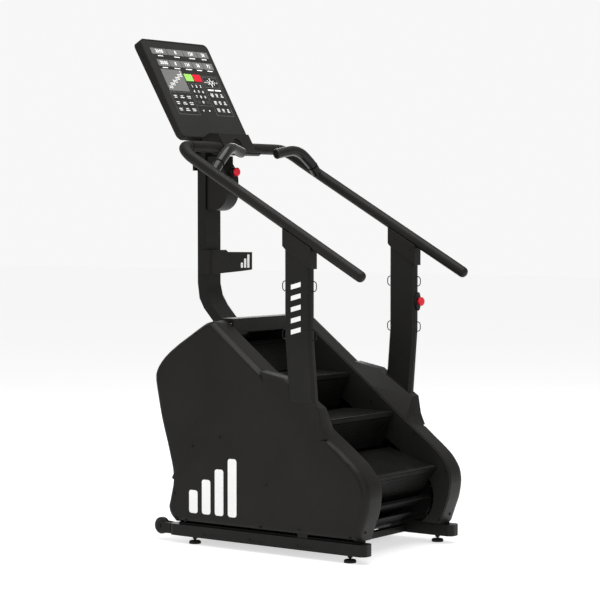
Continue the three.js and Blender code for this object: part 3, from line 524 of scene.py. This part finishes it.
def main_pieces():
    for side in ("right", "left"):
        finer(f"side_cover_{side}", COVER, 1.6 * MM, 2, 40.0)
        closing_plate(f"side_plate_{side}")
        finer(f"base_rail_{side}", PAINT, 1.5 * MM, 2, 40.0)
        finer(f"wheel_fork_{side}", PAINT, 0.8 * MM, 2)
        finer(f"transport_wheel_{side}", WHEEL, 1.0 * MM, 2)
        finer(f"handrail_post_{side}", PAINT, 2.0 * MM, 3, 30.0)
        finer(f"post_collar_{side}", COVER, 2.5 * MM, 3)
        finer_tube(f"handrail_{side}", GRIP)
        for end in ("front", "rear"):
            finer(f"levelling_foot_{end}_{side}", RUBBER, 0.6 * MM, 2)
        NODES[f"frame_side_{side}"].data.materials[0] = PAINT
        NODES[f"step_chain_{side}"].data.materials[0] = BLACKENED
    finer("base_cross_front", PAINT, 1.5 * MM)
    finer("base_cross_rear", PAINT, 1.5 * MM)
    finer("rear_cover", COVER, 1.2 * MM, 2, 40.0)
    finer("top_cover", COVER, 2.0 * MM, 3)
    finer("mast", PAINT, 5.0 * MM, 4, 40.0)
    finer("neck_cover", COVER, 4.0 * MM, 3, 40.0)
    finer("badge_band", COVER, 0.9 * MM, 2)
    finer("console_housing", COVER, 2.2 * MM, 3, 40.0)
    finer("console_panel", SCREEN, 0.4 * MM, 1)
    finer("console_cradle", COVER, 5.0 * MM, 4, 30.0)
    finer("console_bracket", PAINT, 1.5 * MM)
    finer("crossbar", GRIP, 1.0 * MM, 2, 50.0)
    for name in ("upper_shaft", "lower_shaft"):
        finer(name, BLACKENED, 0.6 * MM, 1)
    for name in ("drive_pulley", "alternator", "alternator_pulley"):
        finer(name, CAST, 1.0 * MM, 2)
    finer("drive_belt", RUBBER, 0)
    for place in ("neck", "post"):
        finer(f"stop_housing_{place}", COVER, 1.2 * MM, 2)
        finer(f"stop_button_{place}", RED, 1.0 * MM, 3, 20.0)


# ---------------------------------------------------------------- steps
# A row of ribs: first rib from the plate's edge, lift, pitch, length, width, height, broken edge, all in mm.
TREAD_ROW = (20.0, 0.3, 9.0, 462.0, 4.2, 2.2, 0.5)
RISER_ROW = (12.0, 0.2, 12.5, 452.0, 3.0, 1.8, 0.4)
RISER_RIBS = 9
REAR_MARGIN = 12.0 * MM                   # the tread's plain strip behind its last rib
NOSING_HALF = 233.0 * MM
NOSING_STRIPS = ((-4.0, 3.0), (4.6, 11.5))   # front and rear edge of each strip, in mm from the nose
NOSING_SUNK, NOSING_HIGH, NOSING_CORNER = 0.4 * MM, 1.0 * MM, 1.2 * MM


def long_edge(node, sides_past=0):
    """The ends, lowest Y first, of the longest edge on a plate's right-hand side.

    sides_past counts the flat ends that stick out further, such as a tread's axle."""
    mesh = welded_copy(node)
    points = [vertex.co.copy() for vertex in mesh.vertices]
    side = sorted({round(point.x, 4) for point in points})[-1 - sides_past]
    pairs = [(points[a], points[b]) for a, b in (edge.vertices for edge in mesh.edges)
             if max(abs(points[a].x - side), abs(points[b].x - side)) < 0.2 * MM]
    bpy.data.meshes.remove(mesh)
    return sorted(max(pairs, key=lambda pair: (pair[0] - pair[1]).length), key=lambda end: end.y)


def ribs_on(name, node, low, high, count, row, material):
    """Ribs across a plate, up the line between two points of its surface. Gives back that surface."""
    first, lift, pitch, length, width, height, edge = (value * MM for value in row)
    surface = Place((0.0, low.y, low.z), RIGHT, high - low)
    start = Place(surface.point(0.0, first, lift), RIGHT, high - low)
    ribs = rib_row(name, start, count, pitch, length, width, height, material)
    belongs(rounded_edges(ribs, edge, 1), BODY_OF[node])
    return surface


def tread_trim(number):
    """The ribs on a tread and the two raised strips on its nose, coloured lighter as painted highlight."""
    node = f"tread_{number}"
    nose, rear = long_edge(node, sides_past=1)
    first, _, pitch = (value * MM for value in TREAD_ROW[:3])
    count = int(((rear - nose).length - first - REAR_MARGIN) / pitch)
    surface = ribs_on(f"tread_ribs_{number}", node, nose, rear, count, TREAD_ROW, RIB)
    work = bmesh.new()
    for front, back in NOSING_STRIPS:
        prism(work, surface, corner_rect(-NOSING_HALF, front * MM, NOSING_HALF, back * MM, NOSING_CORNER, 2),
              -NOSING_SUNK, NOSING_HIGH)
    # Strips in the lighter nose colour: painted highlight on the tread's nose.
    belongs(piece_from(f"nosing_{number}", work, NOSE_PAINTED_HIGHLIGHT), BODY_OF[node])


def riser_trim(number):
    node = f"riser_{number}"
    foot, top = sorted(long_edge(node), key=lambda end: end.z)
    ribs_on(f"riser_ribs_{number}", node, foot, top, RISER_RIBS, RISER_ROW, PLATE)


def steps():
    for number in range(1, 5):
        for node in (f"tread_{number}", f"riser_{number}"):
            finer(node, PLATE, 0.9 * MM, 2)
        tread_trim(number)
        riser_trim(number)
    for number in range(5, 9):
        finer(f"return_step_{number}", BLACKENED, 0.8 * MM, 1)


# ---------------------------------------------------------------- grips, loops and screws
# The right-hand grip's route from the handrail to its free end, in mm.
GRIP_ROUTE = ((350, 100, 1486), (318, 101, 1519), (280, 105, 1550), (246, 111, 1573), (210, 120, 1583),
              (172, 130, 1579), (114, 142, 1567))
GRIP_RADIUS, GRIP_SIDES, GRIP_END_ROUND = 21.0 * MM, 28, 5.0 * MM
GRIP_STEPS = 6                 # points of the run between two points of the route
RING_OVER = 0.8 * MM           # how far the dark ring stands out of the grip


def smooth_run(points, steps):
    """A Catmull-Rom run through a list of points."""
    run = []
    for i in range(len(points) - 1):
        before, here = points[max(i - 1, 0)], points[i]
        there, after = points[i + 1], points[min(i + 2, len(points) - 1)]
        for k in range(steps):
            t = k / steps
            run.append(0.5 * (2 * here + (there - before) * t
                              + (2 * before - 5 * here + 4 * there - after) * t ** 2
                              + (3 * here - before - 3 * there + after) * t ** 3))
    return run + [points[-1]]


def grips():
    """Bent sleeves that rise from the handrails towards the middle, with a dark ring at the foot."""
    rings = bmesh.new()
    for side, sign in (("right", 1), ("left", -1)):
        points = smooth_run([Vector((sign * x, y, z)) * MM for x, y, z in GRIP_ROUTE], GRIP_STEPS)
        work = bmesh.new()
        tube(work, points, GRIP_RADIUS, GRIP_SIDES)
        piece = piece_from(f"inner_grip_{side}_fine", work, GLOSSY)
        stands_for(rounded_edges(piece, GRIP_END_ROUND, 4, 50.0), f"inner_grip_{side}")
        tube(rings, points[GRIP_STEPS:GRIP_STEPS + 2], GRIP_RADIUS + RING_OVER, GRIP_SIDES)
    belongs(piece_from("grip_rings", rings, DARK), "frame")


POST_MIDDLE = 362.0 * MM       # across the machine, to the middle of a post's thickness
HOOK_LEVELS = (1047.0, 862.0)  # middle of each hook above the floor, in mm
# How far a hook stands out from the post's edge, and up from its middle, in mm.
HOOK_BEND = ((0, 19), (10, 19), (17, 15), (20, 8), (20, -8), (17, -15), (10, -19), (0, -19))
HOOK_WIRE, HOOK_SUNK = 2.0 * MM, 1.5


def wire_loops():
    """Small wire hooks on both edges of each post, for a bottle holder or a magazine rack."""
    low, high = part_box("handrail_post_left")
    work = bmesh.new()
    for side in (-1, 1):
        for level in HOOK_LEVELS:
            for edge, way in ((low[1], -1), (high[1], 1)):
                points = [Vector((side * POST_MIDDLE, edge + way * (out - HOOK_SUNK) * MM,
                                  (level + rise) * MM)) for out, rise in HOOK_BEND]
                tube(work, points, HOOK_WIRE, 8)
    belongs(piece_from("wire_hooks", work, PAINT), "frame")


# Screws on each side of the machine, as (y, z) in mm.
COVER_SCREWS = ((69, 443), (206, 398), (300, 202), (-159, 271), (-130, 104), (247, 96), (-318, 111),
                (-554, 100))
WALL_SCREWS = ((-461, 441), (-607, 296), (-538, 232), (-603, 157), (-580, 101), (-250, 560))
COLLAR_SCREWS = ((-372, 1176), (-300, 1216))
WALL_FACE, COLLAR_FACE = 241.0 * MM, 339.0 * MM   # from the middle to the faces that these two sit on
FRONT_SCREW, FRONT_FACING = (300, -592, 118), (0, -0.936, -0.351)
MAST_SCREW_LEVEL, MAST_SCREW_IN = 1188 * MM, 14 * MM
CONSOLE_SCREWS, CONSOLE_SCREW_DEEP = (110, 250, 390), 18 * MM   # up the console's side, in mm


def on_both_sides(face, spots, inward=False):
    """Places and facings for screws at (y, z) on a face of each side of the machine."""
    return [(Vector((side * face, y * MM, z * MM)), Vector((-side if inward else side, 0, 0)))
            for y, z in spots for side in (-1, 1)]


def screws():
    part = screw_part()
    console, mast = console_place(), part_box("mast")
    front = [(Vector((side * FRONT_SCREW[0], *FRONT_SCREW[1:])) * MM, Vector(FRONT_FACING))
             for side in (-1, 1)]
    edge = [(console.point(side * CONSOLE_REACH, v * MM, -CONSOLE_SCREW_DEEP), Vector((side, 0, 0)))
            for v in CONSOLE_SCREWS for side in (-1, 1)]
    level = (mast[1][1] - MAST_SCREW_IN, MAST_SCREW_LEVEL)
    collars = [(Vector((side * mast[1][0], *level)), Vector((side, 0, 0))) for side in (-1, 1)]
    collars += on_both_sides(COLLAR_FACE, COLLAR_SCREWS, inward=True)
    for name, places, radius, slot in (
            ("cover_screws", on_both_sides(COVER_REACH, COVER_SCREWS), 5.0 * MM, "cover_plastic"),
            ("wall_screws", on_both_sides(WALL_FACE, WALL_SCREWS, inward=True), 4.2 * MM, "black_paint"),
            ("front_screws", front, 6.0 * MM, "cover_plastic"),
            ("console_screws", edge, 3.2 * MM, "cover_plastic"),
            ("collar_screws", collars, 3.6 * MM, "black_paint")):
        belongs(scattered(name, part, places, radius, SCREW), "frame")
    bpy.data.objects.remove(part)


# ---------------------------------------------------------------- printed marks
PRINT_SUNK, PRINT_HIGH = 0.2 * MM, 0.5 * MM
COVER_MARK_EDGES = (226 * MM, -36 * MM)   # where the first bar starts, on the left and on the right
COVER_MARK_FOOT, COVER_MARK_WIDE, COVER_MARK_TALL = 130 * MM, 262 * MM, 230 * MM
POST_FACE = 381 * MM
POST_MARK_MIDDLE, POST_MARK_HALF, POST_MARK_FOOT = -324 * MM, 27 * MM, 862 * MM
POST_BAR = ((4, 0), (50, 12), (50, 30), (4, 18))   # one slanted bar's corners, in mm
POST_BARS, POST_BAR_PITCH = 5, 43 * MM
BADGE_MARK_START, BADGE_MARK_FOOT = 150 * MM, 1094 * MM
BADGE_MARK_WIDE, BADGE_MARK_TALL = 66 * MM, 56 * MM


def rising_bars(work, place, width, height, count):
    """A generic mark: bars that grow from left to right."""
    pitch = width / count
    for i in range(count):
        tall = height * (0.4 + 0.6 * i / (count - 1))
        u0 = i * pitch
        outline = corner_rect(u0, 0.0, u0 + pitch * 0.66, tall, pitch * 0.16, 3)
        prism(work, place, outline, -PRINT_SUNK, PRINT_HIGH)


def printed(name, work):
    belongs(piece_from(name, work, LEGEND), "frame")


def marks():
    work = bmesh.new()
    for side, start in zip((-1, 1), COVER_MARK_EDGES):
        place = Place((side * COVER_REACH, start, COVER_MARK_FOOT), (0, side, 0), UP)
        rising_bars(work, place, COVER_MARK_WIDE, COVER_MARK_TALL, 4)
    printed("cover_marks", work)
    work = bmesh.new()
    for side in (-1, 1):
        start = POST_MARK_MIDDLE - side * POST_MARK_HALF
        place = Place((side * POST_FACE, start, POST_MARK_FOOT), (0, side, 0), UP)
        for i in range(POST_BARS):
            bar = [(u * MM, v * MM + i * POST_BAR_PITCH) for u, v in POST_BAR]
            prism(work, place, bar, -PRINT_SUNK, PRINT_HIGH)
    printed("post_marks", work)
    work = bmesh.new()
    place = Place((BADGE_MARK_START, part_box("badge_band")[0][1], BADGE_MARK_FOOT), RIGHT, UP)
    rising_bars(work, place, BADGE_MARK_WIDE, BADGE_MARK_TALL, 3)
    printed("badge_mark", work)


# ---------------------------------------------------------------- console face
CONSOLE_TILT = math.radians(29.3)
CONSOLE_LENGTH = 0.47
FACE_SUNK = 1.0 * MM       # the printed face lies this far below the housing's rim
PRINT_DEEP = 2.0 * MM      # how far cells, frames and printed bars reach down into the face
CELL_HIGH, KEY_HIGH, THIN_PRINT = 0.6 * MM, 0.9 * MM, 0.3 * MM
FRAME_LINE, FRAME_HIGH = 1.2 * MM, 0.4 * MM

# Places on the face are shares of its width and of its length, from the lower left corner.
# Each row of cells: its lower and upper edge, and the edges between its cells.
CELL_ROWS = ((0.850, 0.912, (0.10, 0.335, 0.575, 0.785, 0.955)),
             (0.728, 0.795, (0.125, 0.30, 0.47, 0.64, 0.80, 0.955)))
CELL_GAP = 0.008
CELL_FIGURES = ("20:00", "8", "124", "36", "72")
CELL_FIGURE_TALL, KEY_FIGURE_TALL = 0.022, 0.017   # metres
PROFILE_PANEL = (0.12, 0.475, 0.42, 0.695)
PROFILE_START, PROFILE_STEP = (0.148, 0.487), (0.0175, 0.0160)
PROFILE_COLUMNS, PROFILE_DOT = 15, 2.8 * MM
START_KEY, STOP_KEY = (0.435, 0.588, 0.552, 0.662), (0.562, 0.588, 0.675, 0.662)
COLOUR_KEY_HIGH, COLOUR_KEY_CORNER = 1.2 * MM, 3.0 * MM
FRAMES = ((0.445, 0.335, 0.655, 0.568), (0.68, 0.24, 0.935, 0.655), (0.11, 0.235, 0.425, 0.462),
          (0.70, 0.535, 0.91, 0.64))
BAR_STARTS, BAR_WIDE, BAR_LEVELS = (0.705, 0.815), 0.09, (0.50, 0.515)
LAMP_DOTS, LAMP_LEVEL, LAMP_RADIUS = (0.50, 0.59), 0.285, 4.0 * MM
STAR_MIDDLE, STAR_DOT = (0.805, 0.588), 3.0 * MM
STAR_REACH = ((0.030, 0.0132), (0.060, 0.0264), (0.090, 0.0396))   # half width and height of each ring


def key_grid(left, top, pitch_across, pitch_down, rows):
    return [(left + pitch_across * column, top - pitch_down * row)
            for row in range(rows) for column in range(3)]


KEYPAD = key_grid(0.487, 0.536, 0.063, 0.055, 4)
QUICK_KEYS = key_grid(0.735, 0.452, 0.073, 0.078, 3)
SPEED_KEYS = key_grid(0.165, 0.415, 0.098, 0.065, 3)
KEYPAD_FIGURES = "123456789 0 "
# Keys, their half width, half height and corner in mm, and the white bars on them as half width and levels.
KEY_BLOCKS = ((KEYPAD, 10, 9, 4, 0, ()),
              (QUICK_KEYS, 13, 13, 3, 9, (-5.5, 0.5, 6.5)),
              (SPEED_KEYS, 17, 11, 3, 12, (-4.0, 4.0)))


def console_place():
    low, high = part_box("console_housing")
    up = Vector((0, math.sin(CONSOLE_TILT), math.cos(CONSOLE_TILT)))
    return Place((0.0, low[1], high[2] - CONSOLE_LENGTH * up.z), RIGHT, up)


def on_face(u, v):
    """From shares of the face's width and length to metres from the middle of its lower edge."""
    return (u - 0.5) * 2 * CONSOLE_REACH, v * CONSOLE_LENGTH


def face_rect(work, place, corners, high, radius=2.0 * MM):
    u0, v0, u1, v1 = corners
    prism(work, place, corner_rect(*on_face(u0, v0), *on_face(u1, v1), radius, 3), -PRINT_DEEP, high)


def face_outline(work, place, corners):
    """A thin printed frame of four bars."""
    u0, v0, u1, v1 = corners
    (left, foot), (right, top) = on_face(u0, v0), on_face(u1, v1)
    bars = ((left, foot, right, foot + FRAME_LINE), (left, top - FRAME_LINE, right, top),
            (left, foot + FRAME_LINE, left + FRAME_LINE, top - FRAME_LINE),
            (right - FRAME_LINE, foot + FRAME_LINE, right, top - FRAME_LINE))
    for a, b, c, d in bars:
        prism(work, place, ((a, b), (c, b), (c, d), (a, d)), -PRINT_DEEP, FRAME_HIGH)


def face_disc(work, place, u, v, radius, high):
    prism(work, place, disc(*on_face(u, v), radius, 10), -FACE_SUNK, high)


def console_face():
    housing = console_place()
    place = Place(housing.point(0, 0, -FACE_SUNK), housing.right, housing.up)
    displays(place)
    printed_frames(place)
    soft_keys(place)
    for name, corners, material, slot in (("start_key", START_KEY, GREEN, "screen_face"),
                                          ("stop_key", STOP_KEY, RED, "red_plastic")):
        work = bmesh.new()
        face_rect(work, place, corners, COLOUR_KEY_HIGH, COLOUR_KEY_CORNER)
        belongs(piece_from(name, work, material), "frame")


def displays(place):
    """Two rows of number cells with figures and captions, and a panel with a flight of lit steps."""
    cells, captions, notes = bmesh.new(), bmesh.new(), []
    for low, high, edges in CELL_ROWS:
        for index, (left, right) in enumerate(zip(edges, edges[1:])):
            face_rect(cells, place, (left, low, right - CELL_GAP, high), CELL_HIGH)
            middle = (left + right) / 2
            caption_end = middle + 0.030 + 0.008 * (index % 3)
            caption = (middle - 0.045, low - 0.020, caption_end, low - 0.011)
            face_rect(captions, place, caption, THIN_PRINT, 0.8 * MM)
            notes.append((CELL_FIGURES[index], middle, (low + high) / 2))
    face_rect(cells, place, PROFILE_PANEL, CELL_HIGH)
    belongs(piece_from("display_cells", cells, CELL), "frame")
    printed("display_captions", captions)
    figures("display_figures", place, notes, CELL_FIGURE_TALL, CELL_HIGH)
    dots = bmesh.new()
    for column in range(PROFILE_COLUMNS):
        level = 2 * (column // 3) + 1
        for row in range(level, level + (4 if column % 3 == 2 else 2)):
            u, v = (start + count * step
                    for start, count, step in zip(PROFILE_START, (column, row), PROFILE_STEP))
            face_disc(dots, place, u, v, PROFILE_DOT, CELL_HIGH + THIN_PRINT)
    printed("display_dots", dots)


def printed_frames(place):
    """Thin frames round the keypad and the blocks on both sides of it, and a star of dots."""
    prints, frames = bmesh.new(), bmesh.new()
    for corners in FRAMES:
        face_outline(frames, place, corners)
    belongs(piece_from("console_frames", frames, CELL), "frame")
    for left in BAR_STARTS:
        face_rect(prints, place, (left, BAR_LEVELS[0], left + BAR_WIDE, BAR_LEVELS[1]), THIN_PRINT)
    for u in LAMP_DOTS:
        face_disc(prints, place, u, LAMP_LEVEL, LAMP_RADIUS, THIN_PRINT)
    for turn in range(8):
        angle = turn * math.pi / 4
        for across, above in STAR_REACH[:2] if turn % 2 else STAR_REACH:
            face_disc(prints, place, STAR_MIDDLE[0] + across * math.cos(angle),
                      STAR_MIDDLE[1] + above * math.sin(angle), STAR_DOT, THIN_PRINT)
    printed("console_prints", prints)


def soft_keys(place):
    """Low rubber keys: a keypad with its figures, and two blocks of keys with white bars."""
    keys, bars = bmesh.new(), bmesh.new()
    for spots, half_wide, half_tall, corner, bar_half, levels in KEY_BLOCKS:
        for index, (u, v) in enumerate(spots):
            key = Place(place.point(*on_face(u, v)), place.right, place.up)
            wide, tall = half_wide * MM, half_tall * MM
            prism(keys, key, corner_rect(-wide, -tall, wide, tall, corner * MM, 3), -FACE_SUNK, KEY_HIGH)
            for level in levels:
                reach = (bar_half - 2 * ((index + int(level)) % 3)) * MM
                outline = corner_rect(-reach, (level - 1.6) * MM, reach, (level + 1.6) * MM, 0.8 * MM, 2)
                prism(bars, key, outline, KEY_HIGH - 0.3 * MM, KEY_HIGH + 0.2 * MM)
    belongs(piece_from("console_keys", keys, KEY), "frame")
    printed("key_bars", bars)
    notes = [(name, u, v) for name, (u, v) in zip(KEYPAD_FIGURES, KEYPAD) if name != " "]
    figures("key_figures", place, notes, KEY_FIGURE_TALL, KEY_HIGH)


def figures(name, place, notes, tall, lift):
    """Plain figures as thin raised print. A note is its text and its place on the face."""
    work = bmesh.new()
    for text, u, v in notes:
        curve = bpy.data.curves.new("figure", "FONT")
        curve.body, curve.size, curve.extrude, curve.offset = text, tall, 0.2 * MM, tall * 0.02
        curve.align_x, curve.align_y = "CENTER", "CENTER"
        holder = bpy.data.objects.new("figure", curve)
        bpy.context.scene.collection.objects.link(holder)
        mesh = bpy.data.meshes.new_from_object(holder.evaluated_get(bpy.context.evaluated_depsgraph_get()))
        spot = Place(place.point(*on_face(u, v), lift + 0.15 * MM), place.right, place.up)
        mesh.transform(spot.matrix())
        work.from_mesh(mesh)
        bpy.data.objects.remove(holder)
        bpy.data.meshes.remove(mesh)
    for face in work.faces:
        face.material_index = 0
    printed(name, work)


# ---------------------------------------------------------------- small trim
POCKET_LEAN, POCKET_MIDDLE = math.radians(30.0), (0, 251, 1610)   # the round pocket in the cradle, in mm
# Size and depth of the disc of painted shade in the pocket.
POCKET_SHADE_RADIUS, POCKET_SHADE_LEVELS = 23.7 * MM, (-3.4 * MM, -2.6 * MM)

SEAL_EDGES, SEAL_ENDS, SEAL_CORNER = (264 * MM, 334 * MM), (-574 * MM, 300 * MM), 12 * MM
SEAL_GAP = 0.1 * MM
SLOT_MIDDLES, SLOT_HALF, SLOT_LEVELS, SLOT_CORNER = (125, -107, -341), 40 * MM, (41 * MM, 55 * MM), 6 * MM
SLOT_DEEP, PLUG_THICK = 2.0 * MM, 1.2 * MM

CREASE_TOP, CREASE_FOOT = (0, 173, 511), (0, 307, 257)   # on the cover's face, in mm
CREASE_PARTS = 11
CREASE_RIDGE, CREASE_FOOT_HALF, CREASE_RISE = 2.5, 11.0, 3.4
CREASE_SUNK, CREASE_DEEP = 0.3, 0.8


def pocket_liner():
    """A near black disc down in the round pocket in the cradle: painted shade in the hole."""
    up = Vector((0, math.sin(POCKET_LEAN), math.cos(POCKET_LEAN)))
    work = bmesh.new()
    # The disc is painted shade at the bottom of the hole.
    prism(work, Place(Vector(POCKET_MIDDLE) * MM, RIGHT, up), disc(0, 0, POCKET_SHADE_RADIUS, 32), *POCKET_SHADE_LEVELS)
    belongs(piece_from("pocket_liner", work, DARK), "frame")


def rail_fillers():
    """The seal between each base rail and its cover, and the bottoms of the oblong slots in the rails."""
    seals, plugs = bmesh.new(), bmesh.new()
    rail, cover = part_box("base_rail_right"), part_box("side_cover_right")
    for side in (1, -1):
        near, far = sorted(side * edge for edge in SEAL_EDGES)
        outline = corner_rect(near, SEAL_ENDS[0], far, SEAL_ENDS[1], SEAL_CORNER, 3)
        prism(seals, Place((0, 0, 0), RIGHT, ALONG), outline, rail[1][2] + SEAL_GAP, cover[0][2] - SEAL_GAP)
        face = Place((side * (rail[1][0] - SLOT_DEEP), 0, 0), (0, side, 0), UP)
        for y in SLOT_MIDDLES:
            middle = side * y * MM
            outline = corner_rect(middle - SLOT_HALF, SLOT_LEVELS[0], middle + SLOT_HALF, SLOT_LEVELS[1],
                                  SLOT_CORNER, 3)
            prism(plugs, face, outline, -PLUG_THICK, 0.0)
    belongs(piece_from("rail_seals", seals, DARK), "frame")
    belongs(piece_from("slot_plugs", plugs, PAINT), "frame")


def cover_creases():
    """A soft crease that runs down across each side cover."""
    top = Vector(CREASE_TOP) * MM
    run = Vector(CREASE_FOOT) * MM - top
    across = Vector(RIGHT).cross(run.normalized())
    for side, name in ((1, "right"), (-1, "left")):
        out = Vector((side, 0, 0))
        work, sections = bmesh.new(), []
        for part in range(CREASE_PARTS + 1):
            ridge = CREASE_RISE if 0 < part < CREASE_PARTS else -CREASE_SUNK
            profile = ((-CREASE_FOOT_HALF, -CREASE_SUNK), (-CREASE_RIDGE, ridge), (CREASE_RIDGE, ridge),
                       (CREASE_FOOT_HALF, -CREASE_SUNK), (CREASE_FOOT_HALF, -CREASE_DEEP),
                       (-CREASE_FOOT_HALF, -CREASE_DEEP))
            spot = top + out * COVER_REACH + run * (part / CREASE_PARTS)
            sections.append([work.verts.new(spot + (across * wide + out * rise) * MM)
                             for wide, rise in profile])
        lofted(work, sections)
        belongs(piece_from(f"cover_crease_{name}", work, COVER), "frame")


# ---------------------------------------------------------------- floor
FLOOR_HALF, FLOOR_THICK, FLOOR_TOP = 30.0, 0.05, -0.2 * MM


def floor():
    work = bmesh.new()
    reach = FLOOR_HALF
    corners = ((-reach, -reach), (reach, -reach), (reach, reach), (-reach, reach))
    prism(work, Place((0, 0, 0), RIGHT, ALONG), corners, -FLOOR_THICK, FLOOR_TOP)
    piece_from("floor", work, FLOOR)


camera_and_lights()
studio()
floor()
main_pieces()
steps()
grips()
wire_loops()
screws()
marks()
pocket_liner()
rail_fillers()
cover_creases()
console_face()
